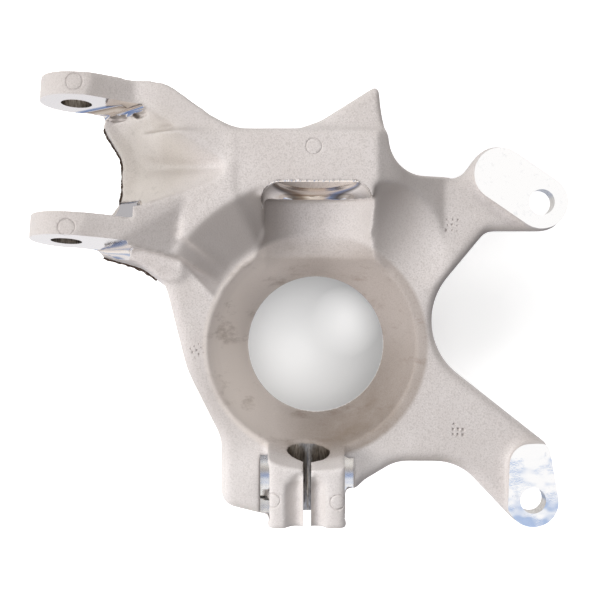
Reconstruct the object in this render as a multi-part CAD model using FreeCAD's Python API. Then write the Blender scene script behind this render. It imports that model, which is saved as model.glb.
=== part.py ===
import FreeCAD, Part
import math
import os

# Front steering knuckle, forged in aluminium as one piece and then machined.
# Millimetres.  The origin lies on the wheel axis, at the middle of the bearing seat.
# +Y runs outboard along the wheel axis, +Z is up, +X runs towards the brake caliper.

V = FreeCAD.Vector
beyond = 200.0               # cutters run this far past the forging
Y_AXIS = V(0, 1, 0)
ORIGIN = V(0, 0, 0)

# wheel bearing housing
bearing_diameter = 84.0
bearing_length = 40.0
barrel_wall = 13.0
barrel_lead = 5.0            # barrel beyond the bearing, outboard
barrel_chamfer = 1.5
lip_diameter = 70.6          # bore through the bearing shoulder
lip_thickness = 5.0
ring_groove_depth = 1.6
ring_groove_width = 2.2
mouth_chamfer = 1.2

# bowl for the drive shaft joint, inboard of the bearing
bowl_inner_angle = 30.0
bowl_outer_angle = 21.0
bowl_turn_depth = 25.0       # from the shoulder to where the bowl steepens

# plate that carries the flank and both caliper arms
body_front = 57.0            # depth of its front at the wheel axis, inboard of the bearing's middle
body_back = 20.0
body_slope = 0.10            # its front falls back towards the caliper
body_round = 5.0
back_bevel = 2.0
flank_width = 64.0           # from the wheel axis to the flank
flank_foot_width = 47.8
flank_foot_drop = 79.3
waist_width = 44.2           # where the two caliper arms part
waist_height = 7.4
body_height = 85.0           # top of the plate beside the beam

# caliper lugs
lug_face = 52.0              # depth of the milled faces
lug_thickness = 16.0
lug_radius = 13.5
lug_edge = 0.9               # forged edge round the milled faces
caliper_bore = 13.0
upper_lug_reach = 114.2
upper_lug_height = 72.6
upper_lug_length = 25.2      # from the hole to the inner end's centre
upper_lug_angle = 34.5
lower_lug_reach = 109.8
lower_lug_drop = 78.6
arm_root_back = 24.0
arm_root_reach = 58.0        # from here on the arms thin out, outboard
arm_taper = 34.0             # over this reach

# beam over the hub, with the horn
beam_front = 76.0
beam_back = 46.0
beam_height = 107.8
beam_round = 3.0
beam_taper_reach = 30.0      # from here on its front falls back towards the caliper
beam_end_reach = 74.0
beam_end_front = 44.0
horn_front = 72.5
horn_back = 56.0
horn_height = 129.6
horn_round = 2.0
horn_bevel = 1.2

# round recess over the upper left of the bowl, with a hollow wall and a floor that falls towards the beam
recess_radius = 70.0         # of its flat floor
recess_round = 16.0          # of its wall
recess_depth = 63.3
recess_tilt = 5.5

# hollow beside the channel, towards the upper caliper arm
hollow_reach = 58.0
hollow_height = 44.0
hollow_radius = 54.2
hollow_depth = 49.5

# open channel from the beam down into the bowl, and the pocket milled at its top
channel_radius = 28.5
channel_depth = 42.0
channel_top = 76.0
channel_flare = 12.0         # how much wider it gets on its way down, to each side
channel_waist = 56.0
channel_foot = 34.0
pocket_radius = 27.6
pocket_corner = 9.0
pocket_ceiling = 81.0

# fork for the control arm: two ears on one tilted axis
fork_tilt_back = 8.4         # top of the axis leans outboard
fork_tilt_side = 3.0         # and a little towards the caliper
fork_reach = 121.2           # from the wheel axis to the middle of the fork
fork_depth = 68.0
fork_height = 92.0
fork_gap = 58.0
ear_thickness = 11.7
ear_radius = 18.4
ear_length = 34.0            # from the hole to where the ear runs into the neck
ear_flare = 15.6             # extra width outboard where the ear runs into the neck
fork_bore = 15.5
neck_depth = 38.0            # behind the fork axis
neck_bevel = 2.2
saddle_angle = 26.0
saddle_tip = 8.0             # radius of the round end between the two branches
saddle_reach = 50.4
saddle_height = 89.3
saddle_floor = 20.0          # behind the fork axis

# facing cutter that mills the ears
facing_height = 3.2
lower_facing_height = 13.0   # above the lower ear the cutter runs higher into the neck
facing_radius = 24.0
facing_reach = 36.0

# fronts of the two branches between the ears and the beam
branch_tip_reach = 122.8
upper_branch_front = 87.0    # at the ear
upper_branch_dip = 69.9      # where the front is deepest
upper_branch_dip_reach = 89.4
lower_branch_front = 94.5    # at the ear
lower_branch_root = 64.8     # reach where it meets the beam

# split clamp for the ball joint stud
clamp_tilt = 10.0            # top of the stud leans inboard
clamp_bore = 21.5
clamp_width = 39.2
clamp_offset = 0.7           # middle of the clamp from the stud axis
clamp_side = 4.0             # stud axis from the wheel axis
clamp_drop = 54.0
clamp_depth = 58.0
clamp_wall = 10.5            # between the bore and the front face
clamp_back = 21.0
clamp_length = 33.0
clamp_rise = 12.0            # clamp above the mouth of the stud bore
stud_clearance = 40.0        # free height above that mouth
clamp_slit = 3.9
clamp_round = 4.0
scoop_width = 20.5           # hollow along both sides of the slit
scoop_depth = 4.0
scoop_drop = 13.0
pinch_bore = 8.5
stud_notch = 4.0             # how far the pinch bolt bites into the stud
pinch_drop = 15.0            # from the mouth of the stud bore to the pinch bolt
seat_diameter = 33.0
seat_width = 5.0
seat_cut = 1.0
seat_shift = 2.0             # seat centres behind the pinch bolt

def rounded_wire(corners, y):
    """Closed outline in the plane at y: straight runs with a tangent arc at each (x, z, radius) corner."""
    arcs = []
    for i, (x, z, radius) in enumerate(corners):
        here = V(x, y, z)
        before = V(corners[i - 1][0], y, corners[i - 1][1])
        after = V(corners[(i + 1) % len(corners)][0], y, corners[(i + 1) % len(corners)][1])
        into = (before - here).normalize()
        out = (after - here).normalize()
        half = into.getAngle(out) / 2
        reach = radius / math.tan(half)
        middle = here + (into + out).normalize() * (radius / math.sin(half) - radius)
        arcs.append((here + into * reach, middle, here + out * reach))
    edges = []
    for i, (start, middle, end) in enumerate(arcs):
        edges.append(Part.Arc(start, middle, end).toShape())
        following = arcs[(i + 1) % len(arcs)][0]
        if end.distanceToPoint(following) > 1e-4:
            edges.append(Part.makeLine(end, following))
    return Part.Wire(edges)


def rim_at(solid, y):
    """Edges that lie in the plane at y."""
    return [e for e in solid.Edges if all(abs(v.Y - y) < 1e-4 for v in e.Vertexes)]


def plate(corners, front, back, front_round=0.0, rear_bevel=0.0):
    """Solid between two depths y, with its front rim rounded and its back rim bevelled."""
    solid = Part.Face(rounded_wire(corners, front)).extrude(V(0, back - front, 0))
    if front_round > 0:
        solid = solid.makeFillet(front_round, rim_at(solid, front))
    if rear_bevel > 0:
        solid = solid.makeChamfer(rear_bevel, rim_at(solid, back))
    return solid


def revolved(profile):
    """Turn a closed (radius, y) profile about the wheel axis."""
    points = [V(r, y, 0) for r, y in profile]
    points.append(points[0])
    return Part.Face(Part.makePolygon(points)).revolve(ORIGIN, Y_AXIS, 360)


def block(corners, z_low, z_high):
    """Upright prism over corners in the level plane (x, y)."""
    points = [V(x, y, z_low) for x, y in corners]
    points.append(points[0])
    return Part.Face(Part.makePolygon(points)).extrude(V(0, 0, z_high - z_low))


fork_axis = V(math.sin(math.radians(fork_tilt_side)), math.sin(math.radians(fork_tilt_back)), 1).normalize()


def fork_frame(origin):
    """Placement whose Z is the fork axis and whose X runs towards the hub."""
    turn = FreeCAD.Rotation(V(1, 0, 0), V(0, 1, 0), fork_axis, "ZXY")
    return FreeCAD.Placement(origin, turn)


# forging: body plate with the flank and the caliper arms

def lug_corner(center, along, angle, side):
    """Corner of the square round a lug's end, which its arc turns into a half circle."""
    run = V(math.cos(math.radians(angle)), 0, math.sin(math.radians(angle)))
    across = V(-run.z, 0, run.x)
    point = center + run * (along * lug_rim) + across * (side * lug_rim)
    return (point.x, point.z, lug_rim)


lug_rim = lug_radius + lug_edge
upper_hole = V(upper_lug_reach, 0, upper_lug_height)
lower_hole = V(lower_lug_reach, 0, -lower_lug_drop)
upper_end = upper_hole + V(-math.cos(math.radians(upper_lug_angle)), 0,
                           math.sin(math.radians(upper_lug_angle))) * upper_lug_length
upper_floor = upper_lug_height - lug_rim
lower_floor = -lower_lug_drop - lug_radius + 0.1

body_corners = [
    # flank
    (-flank_width - 20.0, 41.5, 6.0), (-flank_width - 11.5, 30.0, 20.0), (-flank_width - 1.0, -12.0, 55.0),
    (-flank_foot_width, -46.5, 18.0), (-flank_foot_width, -flank_foot_drop, 8.0),
    # foot behind the clamp
    (-20.0, -86.5, 6.0), (-18.0, -60.0, 4.0), (10.0, -60.0, 4.0), (13.0, -80.0, 6.0),
    # lower arm
    (24.0, -68.5, 8.0), (40.5, -58.8, 20.0), (lower_lug_reach - 37.3, -59.3, 28.0),
    (lower_lug_reach - 6.4, lower_floor, lug_radius - 1.5), (lower_lug_reach + 15.2, lower_floor, lug_radius - 0.5),
    (lower_lug_reach + 8.9, lower_floor + 41.2, 6.0),
    # waist between the arms, and the upper arm
    (waist_width, waist_height, 34.0), (upper_lug_reach - 27.4, upper_floor, 8.0),
    (upper_lug_reach + lug_rim * math.tan(math.radians(45 - upper_lug_angle / 2)), upper_floor, lug_rim),
    lug_corner(upper_hole, 1, -upper_lug_angle, 1),
    lug_corner(upper_end, -1, -upper_lug_angle, 1),
    (upper_lug_reach - 40.2, body_height, 12.0), (39.0, body_height, 12.0), (10.0, body_height + 15.0, 6.0),
    (-flank_width + 4.0, body_height + 10.0, 8.0), (-flank_width - 20.0, body_height - 15.0, 6.0),
]


def body_front_at(x):
    return -body_front + body_slope * x


body = plate(body_corners, -body_front - 20, -body_back, 0, back_bevel)
front_half = block([(-beyond, body_front_at(-beyond)), (beyond, body_front_at(beyond)), (beyond, beyond),
                    (-beyond, beyond)], -beyond, beyond)
body = body.common(front_half)


def on_body_front(edge):
    points = [v.Point for v in edge.Vertexes]
    points.append(edge.valueAt((edge.FirstParameter + edge.LastParameter) / 2))
    return all(abs(p.y - body_front_at(p.x)) < 1e-3 for p in points)


body = body.makeFillet(body_round, [e for e in body.Edges if on_body_front(e)])

# the arms thin out towards the caliper lugs on the outboard side
lug_back = -lug_face + lug_thickness
arm_back = -body_back + 5.0
body = body.cut(block([(arm_root_reach, arm_back), (arm_root_reach + 6.0, -arm_root_back),
                       (arm_root_reach + arm_taper, lug_back), (beyond, lug_back), (beyond, arm_back)],
                      -beyond, beyond))

# forging: beam, horn and bearing barrel

beam_corners = [
    (-84.0, 127.0, 4.0), (-74.0, 125.5, 12.0), (-40.0, beam_height, 25.0), (35.0, beam_height, 3.5),
    (38.0, 85.5, 18.0), (80.0, 85.5, 3.6), (76.0, 62.0, 6.0), (50.0, 38.0, 8.0), (32.5, 40.0, 8.0),
    (-55.0, 26.0, 8.0), (-67.5, 42.0, 5.0), (-77.0, 46.0, 4.0), (-84.0, 50.0, 4.0),
]
beam = plate(beam_corners, -beam_front, -beam_back, beam_round, back_bevel)
beam = beam.cut(block([(beam_taper_reach, -beam_front), (beam_end_reach, -beam_end_front), (beyond, -beam_end_front),
                       (beyond, -beyond), (beam_taper_reach, -beyond)], 0, beyond))

horn_corners = [(-10.0, 100.0, 2.0), (-10.0, beam_height - 0.2, 2.0), (2.0, 111.6, 15.0), (30.6, horn_height, 2.2),
                (31.9, 116.0, 20.0), (35.8, 98.0, 4.0), (30.0, 95.0, 3.0)]
horn = plate(horn_corners, -horn_front, -horn_back, horn_round, horn_bevel)

bearing_radius = bearing_diameter / 2
barrel_radius = bearing_radius + barrel_wall
seat_back = bearing_length / 2
seat_front = -bearing_length / 2
shoulder = seat_front - lip_thickness
barrel_end = seat_back + barrel_lead
lip_radius = lip_diameter / 2
barrel = revolved([(lip_radius, barrel_end), (barrel_radius - barrel_chamfer, barrel_end),
                   (barrel_radius, barrel_end - barrel_chamfer), (barrel_radius, -body_back - 10),
                   (lip_radius, -body_back - 10)])

# forging: fork

fork = fork_frame(V(-fork_reach, -fork_depth, fork_height))
ear_low = fork_gap / 2
ear_high = fork_gap / 2 + ear_thickness


def ear(bottom):
    """One ear: a tongue with a round end at the hole, running towards the neck."""
    r = ear_radius
    root = r + ear_flare
    on_flare = V(ear_flare * 0.72, r + ear_flare * 0.31, bottom)
    outline = Part.Wire([
        Part.Arc(V(0, r, bottom), V(-r, 0, bottom), V(0, -r, bottom)).toShape(),
        Part.makeLine(V(0, -r, bottom), V(ear_length, -r, bottom)),
        Part.makeLine(V(ear_length, -r, bottom), V(ear_length, root, bottom)),
        Part.makeLine(V(ear_length, root, bottom), V(ear_flare, root, bottom)),
        Part.Arc(V(ear_flare, root, bottom), on_flare, V(0, r, bottom)).toShape(),
    ])
    return Part.Face(outline).extrude(V(0, 0, ear_thickness))


neck_corners = [
    (30.0, ear_high + 0.9, 4.0), (45.3, ear_high - 1.0, 22.0), (80.6, 16.2, 10.0), (83.6, -42.8, 10.0),
    (50.0, -57.5, 8.0), (36.0, -47.8, 20.0), (13.5, -ear_high - 1.8, 3.6), (12.8, -ear_low, 4.0), (23.0, -14.9, 10.0),
    (21.9, 7.2, 14.0), (10.0, ear_low - 4.4, 4.0),
]
neck = plate(neck_corners, -ear_radius, neck_depth, 0, neck_bevel)
fork_arm = neck.fuse([ear(ear_low), ear(-ear_high)])
fork_arm.Placement = fork

# the fronts of both branches fall back from the ears to the beam
branches = beam.fuse(fork_arm)
branch_split = saddle_height + 3.0
branches = branches.cut(block([(-branch_tip_reach, -upper_branch_front), (-upper_branch_dip_reach, -upper_branch_dip),
                               (-44.0, -beam_front), (-30.0, -beam_front - 2.0), (-30.0, -beyond),
                               (-branch_tip_reach, -beyond)], branch_split, beyond))
branches = branches.cut(block([(-branch_tip_reach - 2.2, -lower_branch_front),
                               (-lower_branch_root, -beam_front - 1.0), (-30.0, -beam_front - 1.0),
                               (-30.0, -beyond), (-branch_tip_reach - 2.2, -beyond)], -50.0, branch_split))

# facet from the lower branch down to the flank
facet = []
for x, z in ((-118.0, 70.0), (-64.8, 71.7), (-68.2, 43.9), (-68.0, 20.0), (-125.0, 20.0)):
    facet.append(V(x, -88.0 + 0.4534 * (x + 98.3) - 0.272 * (z - 56.1), z))
facet.append(facet[0])
branches = branches.cut(Part.Face(Part.makePolygon(facet)).extrude(V(0, -beyond, 0)))

# below the facet the branch steps back to the face of the flank
step = [V(x, -beyond, z) for x, z in ((-125.0, 52.6), (-90.0, 49.0), (-81.8, 47.0), (-68.6, 43.0), (-62.0, 20.0),
                                      (-125.0, 20.0))]
step.append(step[0])
branches = branches.cut(Part.Face(Part.makePolygon(step)).extrude(V(0, beyond - body_front - 8.0, 0)))

# saddle between the ears: a cone with a round end where the two branches meet
tip_angle = math.radians(saddle_angle)
saddle_axis = V(-1.0, 0.04, 0.105).normalize()
saddle_end = V(-saddle_reach, -beam_front - 1, saddle_height)
saddle = Part.makeCone(saddle_tip, saddle_tip + beyond * math.tan(tip_angle), beyond, saddle_end, saddle_axis)
saddle = saddle.fuse(Part.makeSphere(saddle_tip / math.cos(tip_angle),
                                     saddle_end + saddle_axis * (saddle_tip * math.tan(tip_angle))))
between = Part.makeBox(beyond, beyond + saddle_floor, fork_gap, V(-beyond / 2, -beyond, -ear_low))
between.Placement = fork
saddle = saddle.common(between)

# forging: caliper pads

def stadium(start, end, radius, front, back):
    """Plate with two round ends, between two points of the wheel plane."""
    run = (end - start).normalize()
    side = run.cross(Y_AXIS) * radius
    a = V(start.x, front, start.z)
    b = V(end.x, front, end.z)
    edges = [Part.makeLine(a + side, b + side), Part.Arc(b + side, b + run * radius, b - side).toShape(),
             Part.makeLine(b - side, a - side), Part.Arc(a - side, a - run * radius, a + side).toShape()]
    return Part.Face(Part.Wire(edges)).extrude(V(0, back - front, 0))


upper_pad = stadium(upper_end, upper_hole, lug_radius, -lug_face, lug_back)
lower_pad_corners = [(-12.6, 0.6, 8.0), (-11.6, 28.6, 10.5), (8.0, 29.0, 4.0), (15.4, -13.4, 12.6),
                     (-5.8, -13.4, 12.0), (-13.0, -5.4, 6.0)]
lower_pad = plate(lower_pad_corners, -lug_face, lug_back).translated(lower_hole)

# forging: split clamp, drawn upright about the stud axis and then leaned inboard

clamp_front = -(clamp_bore / 2 + clamp_wall)
clamp_half = clamp_width / 2
clamp_frame = FreeCAD.Placement(V(-clamp_side, -clamp_depth, -clamp_drop), FreeCAD.Rotation(V(1, 0, 0), clamp_tilt))
clamp = Part.makeBox(clamp_width, clamp_back - clamp_front, clamp_length + clamp_rise,
                     V(-clamp_offset - clamp_half, clamp_front, -clamp_length))
clamp = clamp.makeFillet(clamp_round, [e for e in clamp.Edges if e.Length > clamp_length and e.BoundBox.YMax < 0
                                       and e.BoundBox.ZLength > clamp_length])
groove_radius = (scoop_width ** 2 / 4 + scoop_depth ** 2) / (2 * scoop_depth)
groove_top = V(-clamp_offset, clamp_front + scoop_depth - groove_radius, -scoop_drop)
groove = Part.makeCylinder(groove_radius, clamp_length, groove_top, V(0, 0, -1))
groove = groove.fuse(Part.makeSphere(groove_radius, groove_top))
clamp = clamp.cut(groove)
clamp.Placement = clamp_frame

# the forging as a whole

recess = Part.makeTorus(recess_radius, recess_round, V(0, -recess_depth - recess_round, 0), Y_AXIS)
recess = recess.fuse(Part.makeCylinder(recess_radius, beyond, V(0, -recess_depth, 0), -Y_AXIS))
recess.rotate(V(-61, -recess_depth, 34), V(14, 0, -20), -recess_tilt)
recess = recess.common(Part.makeBox(beyond, beyond, beyond, V(-channel_radius + 4.5 - beyond, -beyond, -25)))
hollow = Part.makeSphere(hollow_radius, V(hollow_reach, -hollow_depth - hollow_radius, hollow_height))

# the channel widens on its way down, and its back stays at one depth
foot_radius = channel_radius + channel_flare
channel = Part.makeLoft([Part.Wire(Part.makeCircle(radius, V(0, -channel_depth - radius, z), V(0, 0, 1)))
                         for radius, z in ((foot_radius, channel_foot), (channel_radius, channel_waist),
                                           (channel_radius, channel_top))], True, True)
channel = channel.fuse(Part.makeCylinder(foot_radius, channel_foot - 12.0,
                                         V(0, -channel_depth - foot_radius, 12.0), V(0, 0, 1)))
forging = body.fuse([branches, barrel])
for space in (recess, hollow, channel, saddle):
    forging = forging.cut(space)
forging = forging.fuse([horn, upper_pad, lower_pad, clamp])

bowl_turn = shoulder - bowl_turn_depth
bowl_turn_radius = lip_radius + bowl_turn_depth * math.tan(math.radians(bowl_inner_angle))
bowl_mouth = bowl_turn_radius + 60.0 * math.tan(math.radians(bowl_outer_angle))
bowl = revolved([(0, shoulder), (lip_radius, shoulder), (bowl_turn_radius, bowl_turn),
                 (bowl_mouth, bowl_turn - 60.0), (0, bowl_turn - 60.0)])
forging = forging.cut(bowl)

# milling, boring and turning

ring_edge = seat_back + ring_groove_width
seat = revolved([
    (0, seat_front), (bearing_radius, seat_front), (bearing_radius, seat_back),
    (bearing_radius + ring_groove_depth, seat_back), (bearing_radius + ring_groove_depth, ring_edge),
    (bearing_radius, ring_edge), (bearing_radius, barrel_end - mouth_chamfer),
    (bearing_radius + mouth_chamfer, barrel_end), (bearing_radius + mouth_chamfer, beyond), (0, beyond)])
tools = [Part.makeCylinder(lip_radius, 2 * beyond, V(0, -beyond, 0), Y_AXIS), seat]

pocket_length = channel_top - channel_foot
pocket = Part.makeCylinder(pocket_radius, pocket_length, V(0, 0, -pocket_length))
pocket = pocket.makeFillet(pocket_corner, [e for e in pocket.Edges if e.Closed and abs(e.BoundBox.ZMin) < 1e-4])
pocket.Placement = FreeCAD.Placement(V(0, -channel_depth - channel_radius, pocket_ceiling),
                                     FreeCAD.Rotation(V(1, 0, 0), -fork_tilt_back)).multiply(pocket.Placement)
tools.append(pocket)


def facing(bottom, reach, height=facing_height):
    """Slot of the facing cutter in the fork frame, open towards the ear ends."""
    r = facing_radius
    outline = Part.Wire([
        Part.makeLine(V(-beyond, r, bottom), V(-beyond, -r, bottom)),
        Part.makeLine(V(-beyond, -r, bottom), V(reach - r, -r, bottom)),
        Part.Arc(V(reach - r, -r, bottom), V(reach, 0, bottom), V(reach - r, r, bottom)).toShape(),
        Part.makeLine(V(reach - r, r, bottom), V(-beyond, r, bottom)),
    ])
    return Part.Face(outline).extrude(V(0, 0, height))


fork_tools = [facing(ear_low - facing_height, facing_reach), facing(-ear_low, facing_reach, lower_facing_height),
              facing(-ear_high - facing_height, facing_reach - 3), facing(ear_high, facing_reach - 1),
              Part.makeCylinder(fork_bore / 2, 4 * ear_high, V(0, 0, -2 * ear_high))]
for tool in fork_tools:
    tool.Placement = fork
tools += fork_tools

for hole in (upper_hole, lower_hole):
    tools.append(Part.makeCylinder(caliper_bore / 2, 2 * beyond, V(hole.x, -beyond, hole.z), Y_AXIS))

pinch_y = -(clamp_bore / 2 + pinch_bore / 2 - stud_notch)
clamp_tools = [
    Part.makeCylinder(clamp_bore / 2, beyond + stud_clearance, V(0, 0, -beyond)),
    Part.makeBox(clamp_slit, beyond, beyond + stud_clearance, V(-clamp_offset - clamp_slit / 2, -beyond, -beyond)),
    Part.makeCylinder(pinch_bore / 2, 2 * beyond, V(-beyond, pinch_y, -pinch_drop), V(1, 0, 0)),
]
for side in (-1, 1):
    start = V(-clamp_offset + side * (clamp_half - seat_cut), pinch_y + seat_shift, -pinch_drop)
    clamp_tools.append(Part.makeCylinder(seat_diameter / 2, seat_width, start, V(side, 0, 0)))
for tool in clamp_tools:
    tool.Placement = clamp_frame.multiply(tool.Placement)
tools += clamp_tools

knuckle = forging
for tool in tools:
    knuckle = knuckle.cut(tool)

os.makedirs("parts", exist_ok=True)
knuckle.exportStep("parts/knuckle.step")
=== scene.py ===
import math

import bmesh
import bpy
import numpy as np
from mathutils import Matrix, Vector
from mathutils.bvhtree import BVHTree


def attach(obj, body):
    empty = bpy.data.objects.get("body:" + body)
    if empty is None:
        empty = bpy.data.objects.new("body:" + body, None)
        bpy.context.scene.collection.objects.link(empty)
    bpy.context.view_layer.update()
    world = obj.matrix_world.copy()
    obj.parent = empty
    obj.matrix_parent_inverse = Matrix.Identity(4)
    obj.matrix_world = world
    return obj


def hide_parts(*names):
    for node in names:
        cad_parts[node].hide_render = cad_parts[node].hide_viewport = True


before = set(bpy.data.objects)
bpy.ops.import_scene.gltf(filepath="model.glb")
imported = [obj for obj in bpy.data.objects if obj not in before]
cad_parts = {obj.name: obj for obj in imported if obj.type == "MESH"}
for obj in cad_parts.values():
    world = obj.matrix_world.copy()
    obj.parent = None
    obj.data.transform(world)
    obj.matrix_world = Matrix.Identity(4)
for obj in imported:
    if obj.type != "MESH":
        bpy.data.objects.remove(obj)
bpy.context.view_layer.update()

MM = 0.001

# Sizes of the knuckle in millimetres, in the frame of the wheel axis: +Y outboard, +Z up.
BEARING_RADIUS = 42.0
BEARING_HALF = 20.0
BARREL_END = 25.0
BARREL_RADIUS = 55.0
LIP_RADIUS = 35.3
LIP_FRONT = -25.0
GROOVE_DEPTH = 1.6
GROOVE_WIDTH = 2.2
MOUTH_CHAMFER = 1.2
POCKET_RADIUS = 27.6
POCKET_CORNER = 9.0
POCKET_AXIS_Y = -70.5
POCKET_CEILING = 81.0
POCKET_TILT = 8.4
FORK_CENTER = Vector((-121.2, -68.0, 92.0))
FORK_AXIS = Vector((math.sin(math.radians(3.0)), math.sin(math.radians(8.4)), 1.0)).normalized()
FORK_GAP = 58.0
FORK_BORE = 15.5
EAR_THICKNESS = 11.7
EAR_RADIUS = 18.4
EAR_LOW = FORK_GAP / 2
EAR_HIGH = FORK_GAP / 2 + EAR_THICKNESS
LUG_FACE = -52.0
LUG_BACK = -36.0
UPPER_HOLE = (114.2, 72.6)
UPPER_INNER = (93.4, 86.9)
LOWER_HOLE = (109.8, -78.6)
CALIPER_BORE = 13.0
CLAMP_TOP = Vector((-4.0, -58.0, -54.0))
CLAMP_TILT = 10.0
CLAMP_BORE = 21.5
CLAMP_CENTER = -0.7
CLAMP_HALF = 19.6
CLAMP_FRONT = -21.25
CLAMP_LENGTH = 33.0
CLAMP_SLIT = 3.9
PINCH_BORE = 8.5
PINCH_Y = -11.0
PINCH_DROP = -15.0
SEAT_DIAMETER = 33.0
SEAT_DEPTH = 1.0
SEAT_OFFSET = 2.0

# Machining stock: how thick it stands on a face, how far it sinks into the solid, how far a plug fills past
# the wall and the ends of its hole, and how far round edges stay inside the solid's.
STOCK = 2.4
SUNK = 2.0
FILL = 0.6
PLUG_END = 1.0
EAR_STOCK_RADIUS = EAR_RADIUS - 0.3
EAR_STOCK_CORNER = (14, EAR_STOCK_RADIUS)
BARREL_STOCK_RADIUS = BARREL_RADIUS - 0.4
LUG_STOCK_RADIUS = 13.5
LUG_STOCK_SUNK = 4.0
STUD_PLUG_TOP = -2.0
SLIT_PLUG_TOP = -6.0
POCKET_PLUG = (POCKET_CEILING - 7, POCKET_CEILING + 4)
# Fronts and ends of the ears' stock, as points of the fork frame. The faces towards the saddle and the skirt
# reach further than the plain ones.
UPPER_FRONT = [(7, -18.1), (22, -10.6)]
LOWER_FRONT = [(7, -17.6), (22, -14.0)]
PLAIN_END = [(22, EAR_STOCK_RADIUS)]
UPPER_END = [(30.5, -6.0), (33.0, -4.5), (32.0, 3.0), (28.5, 7.5), (23.6, 12.3), (17.6, 16.4)]
LOWER_END = [(29.0, -11.0), (31.3, -6.0), (32.0, 0.0), (30.7, 8.0), (26.0, 15.5), (18.0, 21.5)]
# Outline of the lower lug face: x, z and radius of each corner.
LOWER_PAD = [(97.2, -78.0, 8.0), (98.2, -50.0, 10.5), (117.8, -49.6, 4.0), (125.2, -92.0, 12.6),
             (104.0, -92.0, 12.0), (96.8, -84.0, 6.0)]

# Cutters: how far they reach into the metal and run past it, and how many facets the round ones have.
OVERRUN = 15.0
THROUGH = 60.0
FACING_RADIUS = 24.0
TOP_REACH = 35.0
UPPER_SIDE_REACH = 36.0
SKIRT_REACH = 33.0
FACING_START = -60
FACING_HEIGHT = 3.2
LOWER_FACING_HEIGHT = 13.0
UNDER_FACING_HEIGHT = 9.0
SKIM = 0.25
# The path under the upper ear stays clear of the web.
UPPER_FACING_PATH = [(-60, -24), (12, -24), (24, -20), (32, -11), (34.5, -3), (33.2, 3), (29.6, 8),
                     (24.6, 13), (19.0, 17.0), (15, 19.0), (-60, 19.0)]
REAMER_OVERRUN = 8.0
CLAMP_OVERRUN = 30
SAW_REACH = (CLAMP_FRONT - 40, 2)
SAW_TOP = 20
CUTTER_HEIGHT = 12.0
LUG_FACINGS = ((74, 140, 45, 110), (90, 140, -100, -45))
BARREL_FACING = 70
MOUTH_OVERRUN = 0.2
MOUTH_CUTTER = 10.0
POCKET_CUTTER = -40.0
SEAT_CUTTER = 5.0
FACETS = 144
FINE_FACETS = 240
POCKET_FACETS = 192

# The forging: edge length of its skin, rounds of smoothing, and the angle that stays a sharp edge.
VOXEL = 1.28
RELAX_ROUNDS = 10
RELAX_SHARES = (0.5, -0.2)
SHARP_ANGLE = 32
# Places smoothed once more: center, fully smoothed radius, outer radius, rounds.
SOFT_PLACES = (((-52, -78, 88), 5, 20, 8), ((-82, -74, 108), 4, 14, 8))
# Scoops beside the clamp slit: middle and half width of each, depth, where their tops round off, and the
# layer of skin that is pressed.
SCOOPS = ((-6.4, 4.3), (4.6, 4.3))
SCOOP_DEPTH = 1.7
SCOOP_TOP = -15.0
SCOOP_CROWN = 5.5
SCOOP_SKIN = 6.0
SCOOP_FADE = 2.0
SCOOP_REACH = 16
SCOOP_LID = -6
# Slope of the recess: angles round the hub, radii of foot, rim and seat, the x it stops at, how far foot and
# rim sink into the skin, and its back.
SLOPE_SWEEP = (104.0, 147.0)
SLOPE_ROWS = 60
SLOPE_FOOT = 57.5
SLOPE_RIM = 83.0
SLOPE_SEAT = 86.5
SLOPE_INNER_X = -26.0
SLOPE_SINK = 0.4
SLOPE_LIP = 0.3
SLOPE_BACK = -52.0
# Flanks of the saddle: a point and a normal in x and z for each ridge line, the ridges' depth, how fast the
# flanks fall from them, the grid, the width over which they fade out, how far they sink into the skin where
# they add next to nothing, and the thickness of the added metal.
SADDLE_RIDGES = (((-45.0, 92.5), (-0.515, -0.857)), ((-45.0, 85.0), (-0.437, 0.900)))
SADDLE_RIM = -76.3
SADDLE_FALL = 1.2
SADDLE_X = (-92.0, -39.0, 1.0)
SADDLE_Z = (70.0, 107.1, 1.0)
SADDLE_FADE = 14
SADDLE_SINK = 0.8
SADDLE_MELT = 2.0
SADDLE_THICKNESS = 1.8

# Marks of the process. They are set on the skin by rays that start in front of the knuckle, and their edges
# are found by halving. Ejector pins: x, z and radius of each circle. Stamped dots: x, z, pitch, turn in
# degrees, size and the dots that are left out.
SIGHT_START = -200.0
HALVINGS = 14
EJECTOR_MARKS = ((-118.5, 129.9, 4.1), (-120.8, 58.2, 4.1), (-1.3, 98.6, 3.9), (-21.5, -75.6, 3.5),
                 (10.3, -76.6, 3.7))
EJECTOR_LINE = 0.26
EJECTOR_RISE = 0.02
EJECTOR_STEPS = 40
PIN_SEED = 5
PIN_GROUPS = ((69.2, 60.9, 2.7, -4.0, 0.62, ()), (72.5, -42.6, 2.6, -5.0, 0.85, (7, 8)),
              (-59.6, -2.2, 2.4, 30.0, 0.5, ()))
PIN_SCATTER = 0.12
PIN_SIZES = (0.75, 1.2)
PIN_RISE = 0.25
PIN_TIP = 0.12
PIN_RINGS = 7
PIN_FACETS = 10
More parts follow.
